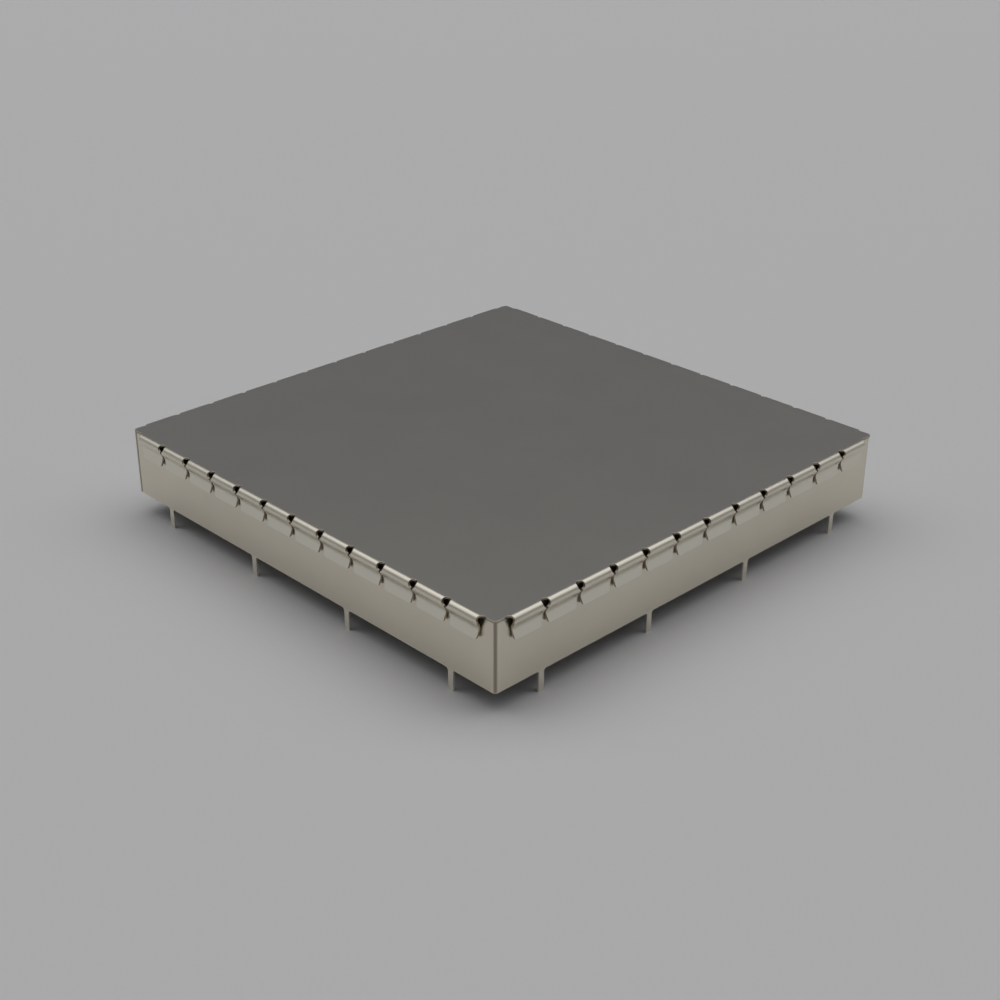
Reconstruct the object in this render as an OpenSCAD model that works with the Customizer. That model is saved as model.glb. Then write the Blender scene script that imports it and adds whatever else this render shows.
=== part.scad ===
// Two-piece screening can for a circuit board: a folded fence with solder pins,
// and a lid whose spring fingers clip over the outside of the fence.
// Millimetres. X and Y lie in the board, Z = 0 is the board's surface, pins point down.

/* [Fence] */
// Outside length of the fence along X
fence_x = 50.4; // [30:0.2:90]
// Outside length of the fence along Y
fence_y = 50.4; // [30:0.2:90]
// Height of the fence wall above the board
wall_h = 6.5; // [4:0.1:15]
// Thickness of the fence's sheet
fence_t = 0.2; // [0.1:0.05:0.3]
// Inside radius of the folded corners
fold_r = 0.1; // [0.05:0.05:0.6]
// Gap at the one corner where the ends of the strip meet
seam_gap = 0.08; // [0.04:0.02:0.2]

/* [Solder pins] */
// Pins along each side
pin_count = 4; // [2:1:6]
// Width of a pin
pin_w = 0.6; // [0.4:0.1:1.2]
// Length of a pin below the board's surface
pin_len = 2; // [1:0.1:4]
// From a fence corner to the middle of the nearest pin
pin_inset = 5.25; // [3:0.15:9]
// Radius in the corner between a pin and the wall's lower edge
pin_root_r = 0.25; // [0.1:0.05:0.4]

/* [Lid] */
// Thickness of the lid's sheet
lid_t = 0.2; // [0.1:0.05:0.3]
// Space between the lid's underside and the fence's upper edge
lid_seat_gap = 0.05; // [0.02:0.01:0.15]
// Radius of the lid plate's corners
lid_corner_r = 0.45; // [0.2:0.05:0.5]

/* [Spring fingers] */
// Distance from one finger to the next
finger_pitch = 4; // [3:0.25:6]
// Least distance from a fence corner to the middle of the first relief hole
finger_margin = 1; // [1:0.1:2]
// Width of the slit between two fingers
finger_slit = 0.2; // [0.15:0.05:0.4]
// Diameter of the relief hole at the root of each slit
relief_d = 0.8; // [0.6:0.05:1]
// From the middle of a corner's relief hole to the edge of the outer finger
outer_gap = 0.3; // [0.1:0.05:0.3]
// Inside radius of the bend from lid plate to finger
bend_r = 0.3; // [0.2:0.05:0.5]
// Straight run of the finger that leans inward from the bend to the crease
neck_len = 0.1; // [0.05:0.05:0.3]
// Radius in the hollow of the crease
crease_r = 0.9; // [0.5:0.05:1.2]
// Space between the crease and the fence's face
crease_clear = 0.06; // [0.02:0.01:0.1]
// From the lid's underside down to the finger tips
finger_drop = 2.1; // [1.8:0.1:3]
// How much a finger narrows on each side, from its neck down to its tip
tip_taper = 0.25; // [0.05:0.05:0.4]
// Radius of the finger's lower corners
tip_r = 0.25; // [0.1:0.05:0.5]

/* [Hidden] */
$fn = 64;

fence_colour = [0.70, 0.68, 0.62];
lid_colour = [0.62, 0.62, 0.60];

corner_r = fold_r + fence_t;
lid_under = wall_h + lid_seat_gap;
lid_top = lid_under + lid_t;

// Side 0 faces +Y, and the others follow anticlockwise: -X, -Y, +X.
function side_len(side) = side % 2 == 0 ? fence_x : fence_y;
function side_off(side) = side % 2 == 0 ? fence_y / 2 : fence_x / 2;

// Stands its children on a side: X along the wall, Y outward from the wall's face, Z up.
module on_side(side) {
    rotate([0, 0, 90 * side]) translate([0, side_off(side), 0]) children();
}

// A rectangle about the origin with round corners.
module round_rect(x, y, r) {
    square([x - 2 * r, y], center = true);
    square([x, y - 2 * r], center = true);
    for (i = [-1, 1], j = [-1, 1])
        translate([i * (x / 2 - r), j * (y / 2 - r)]) circle(r);
}

// A bent strip of sheet, seen end on, from one direction round to another.
module arc_strip(r_in, t, from, to) {
    far = 2 * (r_in + t);
    intersection() {
        difference() {
            circle(r_in + t);
            circle(r_in);
        }
        polygon([[0, 0], far * from, far * (from + to), far * to]);
    }
}

// Fence

// The walls of sides 0 and 1 meet at the seam: side 0 runs right through, and side 1 stops short of it.
function wall_start(side) = side == 0 ? -fence_x / 2 : corner_r - side_len(side) / 2;
function wall_end(side) =
    side == 1 ? fence_y / 2 - fence_t - seam_gap : side_len(side) / 2 - corner_r;

function pin_at(side, i) =
    (side_len(side) / 2 - pin_inset) * (2 * i / (pin_count - 1) - 1);

// The opening under the wall between two pins, with round upper corners.
module pin_gap(from, to) {
    w = to - from;
    translate([from + pin_root_r, -pin_root_r - pin_len])
        square([w - 2 * pin_root_r, pin_root_r + pin_len]);
    translate([from, -pin_root_r - pin_len]) square([w, pin_len]);
    for (x = [from + pin_root_r, to - pin_root_r]) translate([x, -pin_root_r]) circle(pin_root_r);
}

// One wall seen from outside, with its pins.
module wall_outline(side) {
    ends = [for (i = [0 : pin_count - 1]) pin_at(side, i)];
    difference() {
        translate([wall_start(side), -pin_len])
            square([wall_end(side) - wall_start(side), wall_h + pin_len]);
        for (i = [0 : pin_count - 2]) pin_gap(ends[i] + pin_w / 2, ends[i + 1] - pin_w / 2);
        pin_gap(-side_len(side) / 2 - pin_inset, ends[0] - pin_w / 2);
        pin_gap(ends[pin_count - 1] + pin_w / 2, side_len(side) / 2 + pin_inset);
    }
}

// The fold between two walls, drawn at the side's far end.
module folded_corner(side) {
    translate([-side_len(side) / 2 + corner_r, -corner_r, 0])
        rotate([0, 0, 90])
            rotate_extrude(angle = 90)
                translate([corner_r - fence_t, 0]) square([fence_t, wall_h]);
}

module fence() {
    color(fence_colour) union() {
        for (side = [0 : 3])
            on_side(side) rotate([90, 0, 0]) linear_extrude(fence_t) wall_outline(side);
        for (side = [1 : 3]) on_side(side) folded_corner(side);
    }
}

// Lid

function finger_count(side) = floor((side_len(side) - 2 * finger_margin) / finger_pitch);
function slit_at(side, i) = finger_pitch * (i - finger_count(side) / 2);

// Finger section: x is outward from the fence's face, y is up from the board.
// The finger leans in to the crease and flares out below it, each along a unit direction.
neck_dir = [-0.6, -0.8];
flare_dir = [0.28, -0.96];
neck_face = [-neck_dir.y, neck_dir.x];
flare_face = [-flare_dir.y, flare_dir.x];
crease_back_r = crease_r + lid_t;
bend_at = [
    crease_clear + crease_back_r - (bend_r + crease_back_r) * neck_face.x - neck_len * neck_dir.x,
    lid_under - bend_r
];
neck_start = bend_at + bend_r * neck_face;
neck_end = neck_start + neck_len * neck_dir;
crease_at = neck_end + crease_back_r * neck_face;
flare_start = crease_at - crease_back_r * flare_face;
flare_end = flare_start + finger_drop * flare_dir;
finger_low = lid_under - finger_drop;
tip_z = finger_low + tip_r;

// A straight run of the finger, from its inner face outward.
module leg(from, to, face) {
    polygon([from, to, to + lid_t * face, from + lid_t * face]);
}

module finger_section() {
    translate(bend_at) arc_strip(bend_r, lid_t, neck_face, [0, 1]);
    leg(neck_start, neck_end, neck_face);
    translate(crease_at) arc_strip(crease_r, lid_t, -neck_face, -flare_face);
    leg(flare_start, flare_end, flare_face);
}

// One finger seen from outside: it narrows below its neck, and its lower corners are round.
module finger_outline(from, to) {
    over = lid_top + lid_t;
    low_from = from + tip_taper;
    low_to = to - tip_taper;
    polygon([
        [from, over], [from, neck_end.y], [low_from, tip_z],
        [low_to, tip_z], [to, neck_end.y], [to, over]
    ]);
    translate([low_from + tip_r, finger_low]) square([low_to - low_from - 2 * tip_r, finger_drop]);
    for (x = [low_from + tip_r, low_to - tip_r]) translate([x, tip_z]) circle(tip_r);
}

// The outer fingers of a row stop just short of the relief hole by the corner.
module finger_row(side) {
    n = finger_count(side);
    from = slit_at(side, 0);
    to = slit_at(side, n);
    intersection() {
        translate([from, 0, 0]) rotate([90, 0, 90]) linear_extrude(to - from) finger_section();
        translate([0, finger_drop, 0]) rotate([90, 0, 0]) linear_extrude(2 * finger_drop)
            for (i = [0 : n - 1])
                finger_outline(
                    slit_at(side, i) + (i == 0 ? outer_gap : finger_slit / 2),
                    slit_at(side, i + 1) - (i == n - 1 ? outer_gap : finger_slit / 2)
                );
    }
}

// The holes at the slits' roots, drilled square to the middle of the bend.
module relief_holes(side) {
    for (i = [0 : finger_count(side)])
        translate([slit_at(side, i), bend_at.x, bend_at.y])
            rotate([-45, 0, 0]) cylinder(d = relief_d, h = finger_drop);
}

module lid() {
    color(lid_colour) difference() {
        union() {
            translate([0, 0, lid_under])
                linear_extrude(lid_t)
                    round_rect(fence_x + 2 * bend_at.x, fence_y + 2 * bend_at.x, lid_corner_r);
            for (side = [0 : 3]) on_side(side) finger_row(side);
        }
        for (side = [0 : 3]) on_side(side) relief_holes(side);
    }
}

fence();
lid();
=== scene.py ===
import math

import bmesh
import bpy
from mathutils import Matrix, Vector


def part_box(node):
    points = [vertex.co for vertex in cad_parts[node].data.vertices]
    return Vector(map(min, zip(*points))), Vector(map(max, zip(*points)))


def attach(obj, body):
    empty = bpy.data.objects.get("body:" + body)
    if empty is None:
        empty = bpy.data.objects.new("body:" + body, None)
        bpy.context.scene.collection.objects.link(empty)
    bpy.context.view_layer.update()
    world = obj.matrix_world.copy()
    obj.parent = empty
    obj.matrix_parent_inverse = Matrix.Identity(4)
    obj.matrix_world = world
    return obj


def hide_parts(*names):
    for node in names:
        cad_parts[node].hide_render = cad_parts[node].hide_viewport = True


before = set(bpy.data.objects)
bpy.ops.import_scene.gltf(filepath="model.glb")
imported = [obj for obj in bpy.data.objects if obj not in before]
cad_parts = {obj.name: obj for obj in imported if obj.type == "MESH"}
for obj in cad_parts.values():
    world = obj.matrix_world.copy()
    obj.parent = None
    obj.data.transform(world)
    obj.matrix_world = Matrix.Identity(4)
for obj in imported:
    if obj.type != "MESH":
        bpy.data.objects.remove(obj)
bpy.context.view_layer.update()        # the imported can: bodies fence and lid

mm = 0.001               # meshes are drawn in millimetres and scaled last
fenceLow, fenceHigh = [Vector(corner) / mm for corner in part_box("fence")]
lidHigh = Vector(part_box("lid")[1]) / mm
scene = bpy.context.scene


# shared sheet-metal tools, in millimetres and degrees

sheetSet = {
    "scoreReach": 1e-5,      # a score line takes in points this near
    "weldReach": 1e-3,       # points this near become one
    "roundAngle": 50,        # edges sharper than this are rounded
    "roundSteps": 2,
    "crispAngle": 20,        # edges sharper than this shade crisp
}


def lineTo(bm, vert, x, y):
    step = bmesh.ops.extrude_vert_indiv(bm, verts=[vert])["verts"][0]
    step.co = (x, y, 0)
    return step


def arcTo(bm, vert, x, y, turn, steps):
    spun = bmesh.ops.spin(bm, geom=[vert], cent=(x, y, 0), axis=(0, 0, 1), angle=turn, steps=steps)
    return spun["geom_last"][0]


def fillOutline(bm, first, last):
    bm.edges.new((last, first))
    bmesh.ops.edgeloop_fill(bm, edges=bm.edges[:])


def scoreAt(bm, point, normal):       # cuts a line across a flat sheet
    bmesh.ops.bisect_plane(
        bm, geom=bm.verts[:] + bm.edges[:] + bm.faces[:], dist=sheetSet["scoreReach"],
        plane_co=point, plane_no=normal
    )


def weld(bm, reach=sheetSet["weldReach"]):
    bmesh.ops.remove_doubles(bm, verts=bm.verts[:], dist=reach)


def addCopy(bm, part, matrix):        # adds a placed copy of a finished mesh
    before = len(bm.verts)
    bm.from_mesh(part)
    bm.verts.ensure_lookup_table()
    bmesh.ops.transform(bm, matrix=matrix, verts=bm.verts[before:])


def keepMesh(bm, name):
    mesh = bpy.data.meshes.new(name)
    bm.to_mesh(mesh)
    bm.free()
    return mesh


def onSide(side, offset):             # side 0 faces +Y, then -X, -Y, +X
    return Matrix.Rotation(math.radians(90 * side), 4, "Z") @ Matrix.Translation((0, offset, 0))


def finishSheet(bm, name, thickness, edgeRound, body):
    outside = set(bm.verts)
    bmesh.ops.solidify(bm, geom=bm.faces[:], thickness=thickness)
    bmesh.ops.recalc_face_normals(bm, faces=bm.faces[:])
    for face in bm.faces:    # cut edges take the second material, the inside the third
        shared = sum(v in outside for v in face.verts)
        face.material_index = 0 if shared == len(face.verts) else 1 if shared else 2
    roundAngle = math.radians(sheetSet["roundAngle"])
    sharp = [edge for edge in bm.edges if edge.calc_face_angle(0) > roundAngle]
    bmesh.ops.bevel(
        bm, geom=sharp, offset=edgeRound, offset_type="OFFSET", segments=sheetSet["roundSteps"],
        profile=0.5, affect="EDGES", clamp_overlap=False, material=-1
    )
    bmesh.ops.scale(bm, vec=(mm, mm, mm), verts=bm.verts[:])
    for face in bm.faces:
        face.smooth = True
    piece = bpy.data.objects.new(name, keepMesh(bm, name))
    piece.data.set_sharp_from_angle(angle=math.radians(sheetSet["crispAngle"]))
    scene.collection.objects.link(piece)
    weighted = piece.modifiers.new("flatFaces", "WEIGHTED_NORMAL")
    weighted.keep_sharp = True
    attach(piece, body)
    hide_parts(body)
    print(name, len(piece.data.vertices), "vertices", len(piece.data.polygons), "faces")
    return piece


# fence: four walls from one folded strip, with solder pins

fenceSet = {
    "sheet": 0.2,
    "foldRadius": 0.3,       # outside of a folded corner
    "foldSteps": 8,
    "seamGap": 0.08,
    "pinsPerSide": 4,
    "pinWidth": 0.6,
    "pinInset": 5.25,
    "pinRootRadius": 0.25,
    "rootSteps": 5,
    "foldMargin": 0.8,       # flat sheet kept beside a fold
    "edgeRound": 0.02,
}


def fenceWall(side, half):
    s = fenceSet
    start = -half if side == 0 else s["foldRadius"] - half
    end = half - (s["sheet"] + s["seamGap"] if side == 1 else s["foldRadius"])
    foot, top, root = fenceLow.z, fenceHigh.z, s["pinRootRadius"]
    bm = bmesh.new()
    first = bm.verts.new((start, 0, 0))
    vert = first
    for pin in range(s["pinsPerSide"]):
        middle = (half - s["pinInset"]) * (2 * pin / (s["pinsPerSide"] - 1) - 1)
        left, right = middle - s["pinWidth"] / 2, middle + s["pinWidth"] / 2
        vert = lineTo(bm, vert, left - root, 0)
        vert = arcTo(bm, vert, left - root, -root, math.radians(-90), s["rootSteps"])
        vert = lineTo(bm, vert, left, foot)
        vert = lineTo(bm, vert, right, foot)
        vert = lineTo(bm, vert, right, -root)
        vert = arcTo(bm, vert, right + root, -root, math.radians(-90), s["rootSteps"])
    vert = lineTo(bm, vert, end, 0)
    vert = lineTo(bm, vert, end, top)
    vert = lineTo(bm, vert, start, top)
    fillOutline(bm, first, vert)
    scoreAt(bm, (0, 0, 0), (0, 1, 0))
    for x in (start + s["foldMargin"], end - s["foldMargin"]):
        scoreAt(bm, (x, 0, 0), (1, 0, 0))
    bmesh.ops.rotate(bm, verts=bm.verts[:], matrix=Matrix.Rotation(math.radians(90), 3, "X"))
    if side > 0:             # the fold to the next wall
        edge = [v for v in bm.verts if abs(v.co.x - start) < sheetSet["weldReach"]]
        bmesh.ops.spin(
            bm, geom=edge + [e for e in bm.edges if all(v in edge for v in e.verts)],
            cent=(start, -s["foldRadius"], 0), axis=(0, 0, 1),
            angle=math.radians(90), steps=s["foldSteps"]
        )
    return keepMesh(bm, "wall")


def buildFence():
    s = fenceSet
    half = fenceHigh.x
    bm = bmesh.new()
    for side in range(4):
        addCopy(bm, fenceWall(side, half), onSide(side, half))
    weld(bm)
    bmesh.ops.recalc_face_normals(bm, faces=bm.faces[:])
    return finishSheet(bm, "fenceStrip", s["sheet"], s["edgeRound"], "fence")


fence = buildFence()


# lid: a flat plate with a row of spring fingers folded down along each side

lidSet = {
    "sheet": 0.2,
    "plateEdge": 0.1,        # start of the bend, outside the fence's face
    "plateStrip": 0.5,       # flat border of the plate drawn with the fingers
    "cornerRadius": 0.45,
    "fingersPerSide": 12,
    "fingerPitch": 4,
    "slit": 0.2,
    "reliefRadius": 0.4,
    "reliefAngle": 45,       # a relief hole's middle, round the bend
    "outerGap": 0.3,         # corner relief's middle to the outer finger's edge
    "tipTaper": 0.25,        # a finger narrows by this on each side, from the neck down
    "tipRadius": 0.25,
    "bendRadius": 0.4,       # radii at the middle of the sheet
    "bendAngle": 126.87,
    "bendSteps": 18,
    "neck": 0.1,
    "creaseRadius": 1,
    "creaseAngle": 48.47,
    "creaseSteps": 8,
    "flare": 0.673,
    "reliefSteps": 16,
    "biteSteps": 4,          # of the relief holes beside a plate corner
    "tipSteps": 6,
    "fingerWeld": 0.008,     # clears slivers where a score passes a round
    "edgeRound": 0.02,
}
bendLength = lidSet["bendRadius"] * math.radians(lidSet["bendAngle"])
creaseLength = lidSet["creaseRadius"] * math.radians(lidSet["creaseAngle"])
fingerRuns = [               # length, turn and cuts of each run, from the plate down to the tip
    (lidSet["plateStrip"], 0, 1),
    (bendLength, -math.radians(lidSet["bendAngle"]), lidSet["bendSteps"]),
    (lidSet["neck"], 0, 1),
    (creaseLength, math.radians(lidSet["creaseAngle"]), lidSet["creaseSteps"]),
    (lidSet["flare"], 0, 1),
]
taperReach = sum(run[0] for run in fingerRuns[:3])
tipReach = sum(run[0] for run in fingerRuns)
reliefReach = lidSet["plateStrip"] + lidSet["bendRadius"] * math.radians(lidSet["reliefAngle"])


def alongFinger(reach):      # outward and up on the sheet's outer face, after a length along it
    spot, heading = Vector((0, 0)), 0.0
    for length, turn, cuts in fingerRuns:
        part = min(reach, length)
        bend = turn * part / length
        chord = part * math.sin(bend / 2) / (bend / 2) if bend else part
        spot += chord * Vector((math.cos(heading + bend / 2), math.sin(heading + bend / 2)))
        heading += bend
        reach -= part
    return spot + lidSet["sheet"] / 2 * Vector((-math.sin(heading), math.cos(heading)))


def halfFinger(edge):        # flat, from its middle to a slit, with the relief hole at the root
    s = lidSet
    slitAt, radius, tip = s["fingerPitch"] / 2, s["reliefRadius"], s["tipRadius"]
    side = slitAt - edge
    low = side - s["tipTaper"]
    bm = bmesh.new()
    first = bm.verts.new((0, 0, 0))
    vert = lineTo(bm, first, slitAt, 0)
    vert = lineTo(bm, vert, slitAt, reliefReach - radius)
    sweep = math.radians(90) + math.acos(edge / radius)
    vert = arcTo(bm, vert, slitAt, reliefReach, -sweep, s["reliefSteps"])
    vert = lineTo(bm, vert, side, taperReach)
    vert = lineTo(bm, vert, low, tipReach - tip)
    vert = arcTo(bm, vert, low - tip, tipReach - tip, math.radians(90), s["tipSteps"])
    vert = lineTo(bm, vert, 0, tipReach)
    fillOutline(bm, first, vert)
    reach = 0
    for length, turn, cuts in fingerRuns:
        for cut in range(cuts):
            reach += length / cuts
            scoreAt(bm, (0, reach, 0), (0, 1, 0))
    weld(bm, s["fingerWeld"])
    return keepMesh(bm, "halfFinger")


def fingerRow():
    s = lidSet
    inner, outer = halfFinger(s["slit"] / 2), halfFinger(s["outerGap"])
    last = s["fingersPerSide"] - 1
    bm = bmesh.new()
    for finger in range(s["fingersPerSide"]):
        place = Matrix.Translation((s["fingerPitch"] * (finger - last / 2), 0, 0))
        addCopy(bm, outer if finger == last else inner, place)
        addCopy(bm, outer if finger == 0 else inner, place @ Matrix.Diagonal((-1, 1, 1, 1)))
    weld(bm)
    for v in bm.verts:       # folds the flat row
        out, up = alongFinger(v.co.y)
        v.co = (v.co.x, out, up)
    return keepMesh(bm, "fingerRow")


def plateCorner(edge, slitAt):        # the bit of plate past the last relief holes of two sides
    s = lidSet
    inner, corner, radius = edge - s["plateStrip"], s["cornerRadius"], s["reliefRadius"]
    beyond = reliefReach - s["plateStrip"]                # relief's middle, past the plate's edge
    bite = math.sqrt(radius ** 2 - beyond ** 2)
    turn = -math.asin(bite / radius)
    bm = bmesh.new()
    first = bm.verts.new((slitAt, inner, 0))
    vert = lineTo(bm, first, inner, inner)
    vert = lineTo(bm, vert, inner, slitAt)
    vert = lineTo(bm, vert, edge + beyond - radius, slitAt)
    vert = arcTo(bm, vert, edge + beyond, slitAt, turn, s["biteSteps"])
    vert = lineTo(bm, vert, edge, edge - corner)
    vert = arcTo(bm, vert, edge - corner, edge - corner, math.radians(90), s["tipSteps"])
    vert = lineTo(bm, vert, slitAt + bite, edge)
    vert = arcTo(bm, vert, slitAt, edge + beyond, turn, s["biteSteps"])
    fillOutline(bm, first, vert)
    return keepMesh(bm, "plateCorner")


def buildLid():
    s = lidSet
    edge = fenceHigh.x + s["plateEdge"]
    inner = edge - s["plateStrip"]
    slitAt = s["fingersPerSide"] * s["fingerPitch"] / 2
    row, corner = fingerRow(), plateCorner(edge, slitAt)
    bm = bmesh.new()
    for side in range(4):
        rowPlace = Matrix.Translation((0, 0, lidHigh.z - s["sheet"] / 2)) @ onSide(side, inner)
        addCopy(bm, row, rowPlace)
        addCopy(bm, corner, Matrix.Translation((0, 0, lidHigh.z)) @ onSide(side, 0))
    weld(bm)
    within = inner + sheetSet["weldReach"]
    rim = [e for e in bm.edges if all(max(abs(v.co.x), abs(v.co.y)) < within for v in e.verts)]
    bmesh.ops.edgeloop_fill(bm, edges=rim)
    bmesh.ops.recalc_face_normals(bm, faces=bm.faces[:])
    plate = max(bm.faces, key=lambda face: face.calc_area())
    if plate.normal.z < 0:
        bmesh.ops.reverse_faces(bm, faces=bm.faces[:])
    return finishSheet(bm, "lidPlate", s["sheet"], s["edgeRound"], "lid")


lid = buildLid()


# nickel silver: rolled sheet, etched, with a soft satin face

finishSet = {
    "tint": (0.84, 0.775, 0.64, 1),
    "cloudTint": (0.725, 0.69, 0.59, 1),
    # painted shade: a dark band along each fence fold, standing in for its dark reflected line
    "foldShadeTint": (0.31, 0.27, 0.22, 1),
    "foldShare": 0.55,       # of the fold's radius, over which the painted shade sets in
    # painted light: the pins are lighter than the walls, as if more light reached them
    "pinTint": (0.93, 0.885, 0.77, 1),
    "pinLightRamp": (0.3, -0.4),  # heights where the wall ends and the painted light on the pins is full
    # painted light: the finger flares are lighter, standing in for their brighter reflection
    "flareLightTint": (0.803, 0.775, 0.672, 1),
    "flareLightRamp": (5.75, 5.35),        # heights where the crease ends and the painted light on the flares is full
    "wallEdgeTints": ((0.6, 0.555, 0.46, 1), (0.55, 0.51, 0.425, 1)),
    # dull etched cut edges of the lid, darkened further as painted shade in the slits
    "slitEdgeShadeTints": ((0.5, 0.425, 0.33, 1), (0.45, 0.385, 0.3, 1)),
    "edgeRoughness": (0.42, 0.55),
    "fenceInsideTints": ((0.72, 0.665, 0.55, 1), (0.64, 0.605, 0.515, 1)),
    # a dull underside, darkened further as painted shade to deepen the shadow under the can
    "lidUndersideShadeTints": ((0.46, 0.425, 0.355, 1), (0.39, 0.37, 0.32, 1)),
    "insideRoughness": (0.6, 0.7),
    "roughness": (0.275, 0.305),
    "cloudScale": 140,       # noise scales are per metre
    "cloudDetail": 3,
    "grainScale": 6000,
    "grainDetail": 2,
    "grainDepth": 0.02,      # millimetres
    "grainBump": 0.12,
}


def addNode(tree, kind, **values):
    node = tree.nodes.new(kind)
    for name, value in values.items():
        if name in node.inputs:
            node.inputs[name].default_value = value
        else:
            setattr(node, name, value)
    return node


def addTintMix(tree):        # factor, first tint, second tint and result of a colour mix
    mix = addNode(tree, "ShaderNodeMix", data_type="RGBA")
    return mix.inputs["Factor"], mix.inputs[6], mix.inputs[7], mix.outputs[2]


def setSpan(node, side, span):        # side is From or To
    node.inputs[side + " Min"].default_value, node.inputs[side + " Max"].default_value = span


def tintWhere(tree, place, ramps, tint, other):           # mixes in another tint past all the ramps
    split = addNode(tree, "ShaderNodeSeparateXYZ")
    tree.links.new(place.outputs["Object"], split.inputs["Vector"])
    factor, first, second, result = addTintMix(tree)
    tree.links.new(tint, first)
    second.default_value = other
    share = None
    for axis, start, end in ramps:
        value = split.outputs[axis]
        if axis != "Z":      # both ends of X and Y alike
            away = addNode(tree, "ShaderNodeMath", operation="ABSOLUTE")
            tree.links.new(value, away.inputs[0])
            value = away.outputs[0]
        ramp = addNode(tree, "ShaderNodeMapRange", interpolation_type="SMOOTHSTEP")
        setSpan(ramp, "From", (start * mm, end * mm))
        tree.links.new(value, ramp.inputs["Value"])
        if share:
            both = addNode(tree, "ShaderNodeMath", operation="MULTIPLY")
            tree.links.new(share, both.inputs[0])
            tree.links.new(ramp.outputs["Result"], both.inputs[1])
            share = both.outputs[0]
        else:
            share = ramp.outputs["Result"]
    tree.links.new(share, factor)
    return result


def nickelSilver(name, tints, roughness, patches=()):
    s = finishSet
    material = bpy.data.materials.new(name)
    material.use_nodes = True
    tree = material.node_tree
    link = tree.links.new
    shader = tree.nodes["Principled BSDF"]
    shader.inputs["Metallic"].default_value = 1
    place = addNode(tree, "ShaderNodeTexCoord")
    cloud = addNode(tree, "ShaderNodeTexNoise", Scale=s["cloudScale"], Detail=s["cloudDetail"])
    link(place.outputs["Object"], cloud.inputs["Vector"])
    factor, first, second, tint = addTintMix(tree)
    first.default_value, second.default_value = tints
    link(cloud.outputs["Fac"], factor)
    rough = addNode(tree, "ShaderNodeMapRange")
    setSpan(rough, "To", roughness)
    grain = addNode(tree, "ShaderNodeTexNoise", Scale=s["grainScale"], Detail=s["grainDetail"])
    link(place.outputs["Object"], grain.inputs["Vector"])
    link(grain.outputs["Fac"], rough.inputs["Value"])
    link(rough.outputs["Result"], shader.inputs["Roughness"])
    bump = addNode(tree, "ShaderNodeBump", Strength=s["grainBump"], Distance=s["grainDepth"] * mm)
    link(grain.outputs["Fac"], bump.inputs["Height"])
    link(bump.outputs["Normal"], shader.inputs["Normal"])
    for ramps, other in patches:
        tint = tintWhere(tree, place, ramps, tint, other)
    link(tint, shader.inputs["Base Color"])
    return material


def dressPieces():
    s = finishSet
    foldStart = fenceHigh.x - fenceSet["foldRadius"]
    foldEnd = foldStart + s["foldShare"] * fenceSet["foldRadius"]
    # painted shade darkens the folds; painted light brightens the pins and the finger flares
    folds = ([(axis, foldStart, foldEnd) for axis in ("X", "Y")], s["foldShadeTint"])
    pins = ([("Z", *s["pinLightRamp"])], s["pinTint"])
    flares = ([("Z", *s["flareLightRamp"])], s["flareLightTint"])
    dressing = (
        (fence, "fenceSilver", [folds, pins], "wallEdgeTints", [pins], "fenceInsideTints"),
        (lid, "lidSilver", [flares], "slitEdgeShadeTints", [], "lidUndersideShadeTints"),
    )
    for piece, name, patches, edgeTints, edgePatches, insideTints in dressing:
        for material in (
            nickelSilver(name, (s["tint"], s["cloudTint"]), s["roughness"], patches),
            nickelSilver(piece.name + "Edge", s[edgeTints], s["edgeRoughness"], edgePatches),
            nickelSilver(piece.name + "Inside", s[insideTints], s["insideRoughness"]),
        ):
            piece.data.materials.append(material)


dressPieces()
print("finish done")


# camera, where the photographer stood, in millimetres and degrees

cameraSet = {
    "focalPixels": 1638.4,
    "framePixels": 1000,
    "sensor": 36,
    "azimuth": -44.231,
    "elevation": 26.701,
    "roll": 0.111,
    "distance": 160.63,
    "target": (-0.959, -0.797, 0),
    "clipStart": 1,
}


def placeCamera():
    s = cameraSet
    azimuth, elevation, roll = [math.radians(s[key]) for key in ("azimuth", "elevation", "roll")]
    back = Vector((
        math.sin(azimuth) * math.cos(elevation),
        -math.cos(azimuth) * math.cos(elevation),
        math.sin(elevation),
    ))
    level = Vector((0, 0, 1)).cross(back).normalized()
    turn = Matrix((level, back.cross(level), back)).transposed().to_4x4()
    data = bpy.data.cameras.new("camera")
    data.sensor_width = s["sensor"]
    data.lens = s["focalPixels"] / s["framePixels"] * s["sensor"]
    data.clip_start = s["clipStart"] * mm
    camera = bpy.data.objects.new("camera", data)
    spot = Matrix.Translation((Vector(s["target"]) + back * s["distance"]) * mm)
    camera.matrix_world = spot @ turn @ Matrix.Rotation(roll, 4, "Z")
    scene.collection.objects.link(camera)
    scene.camera = camera


placeCamera()
print("camera done")


# studio: pale floor, overhead softboxes and a dim room, in metres

studioSet = {
    "floorColour": (0.85, 0.842, 0.828, 1),
    "floorRoughness": 0.9,
    "floorSpecular": 0.2,
    "floorSize": 5,
    "floorDrop": 0.01,       # millimetres below the pins
    "roomColour": (0.12, 0.126, 0.147, 1),
    "roomFront": 0.48,       # the room is dimmer on the camera's side
    "roomBlend": (-0.2, 0.6),
    "turn": 45.8,            # the studio's middle line runs away from the camera
    "panelSize": (2.4, 7),
    "panelHeight": 2,
    "panelBack": 0.55,       # the panel hangs a little behind the can
    "panelPower": 33.4,
    "innerSize": (2.4, 3.6),
    "innerPower": 6.6,
    "innerDrop": 0.01,       # the inner panel hangs just under the long one
    "cardSize": (4, 1.9),
    "cardAway": 3.5,
    "cardPower": 4.6,
}


def addSoftbox(name, size, power, place):
    data = bpy.data.lights.new(name, "AREA")
    data.shape = "RECTANGLE"
    data.size, data.size_y = size
    data.energy = power
    softbox = bpy.data.objects.new(name, data)
    softbox.matrix_world = Matrix.Rotation(math.radians(studioSet["turn"]), 4, "Z") @ place
    scene.collection.objects.link(softbox)


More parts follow.
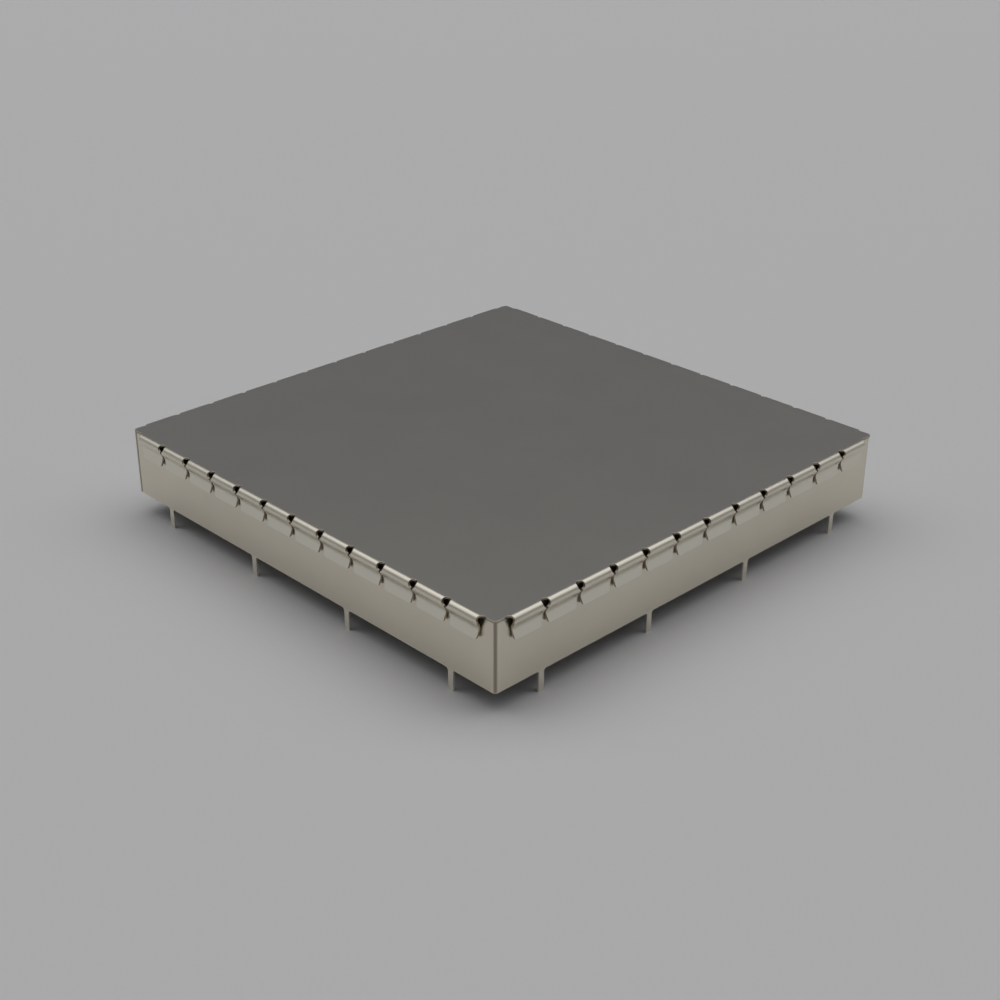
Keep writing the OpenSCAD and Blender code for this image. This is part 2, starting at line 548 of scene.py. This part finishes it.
def buildStudio():
    s = studioSet
    bm = bmesh.new()
    bmesh.ops.create_grid(bm, x_segments=1, y_segments=1, size=s["floorSize"])
    bmesh.ops.translate(bm, verts=bm.verts[:], vec=(0, 0, (fenceLow.z - s["floorDrop"]) * mm))
    floor = bpy.data.objects.new("floor", keepMesh(bm, "floor"))
    scene.collection.objects.link(floor)
    paper = bpy.data.materials.new("greyPaper")
    paper.use_nodes = True
    shader = paper.node_tree.nodes["Principled BSDF"]
    shader.inputs["Base Color"].default_value = s["floorColour"]
    shader.inputs["Roughness"].default_value = s["floorRoughness"]
    shader.inputs["Specular IOR Level"].default_value = s["floorSpecular"]
    floor.data.materials.append(paper)
    room = bpy.data.worlds.new("room")
    room.use_nodes = True
    tree = room.node_tree
    tree.nodes["Background"].inputs["Color"].default_value = s["roomColour"]
    away = addNode(tree, "ShaderNodeVectorMath", operation="DOT_PRODUCT")
    turn = Matrix.Rotation(math.radians(s["turn"]), 3, "Z")
    away.inputs[1].default_value = turn @ Vector((1, 0, 0))
    fade = addNode(tree, "ShaderNodeMapRange", interpolation_type="SMOOTHSTEP")
    setSpan(fade, "From", s["roomBlend"])
    fade.inputs["To Min"].default_value = s["roomFront"]
    tree.links.new(addNode(tree, "ShaderNodeTexCoord").outputs["Generated"], away.inputs[0])
    tree.links.new(away.outputs["Value"], fade.inputs["Value"])
    tree.links.new(fade.outputs["Result"], tree.nodes["Background"].inputs["Strength"])
    scene.world = room
    overhead = Matrix.Translation((s["panelBack"], 0, s["panelHeight"]))
    addSoftbox("panel", s["panelSize"], s["panelPower"], overhead)
    under = Matrix.Translation((0, 0, -s["innerDrop"])) @ overhead
    addSoftbox("inner", s["innerSize"], s["innerPower"], under)
    for side in (1, -1):     # pale cards close the studio at both ends of the panel
        stand = Matrix.Translation((0, side * s["cardAway"], s["cardSize"][1] / 2))
        upright = Matrix.Rotation(math.radians(-90 * side), 4, "X")
        addSoftbox("card", s["cardSize"], s["cardPower"], stand @ upright)


buildStudio()
scene.view_settings.view_transform = "Standard"
print("studio done")
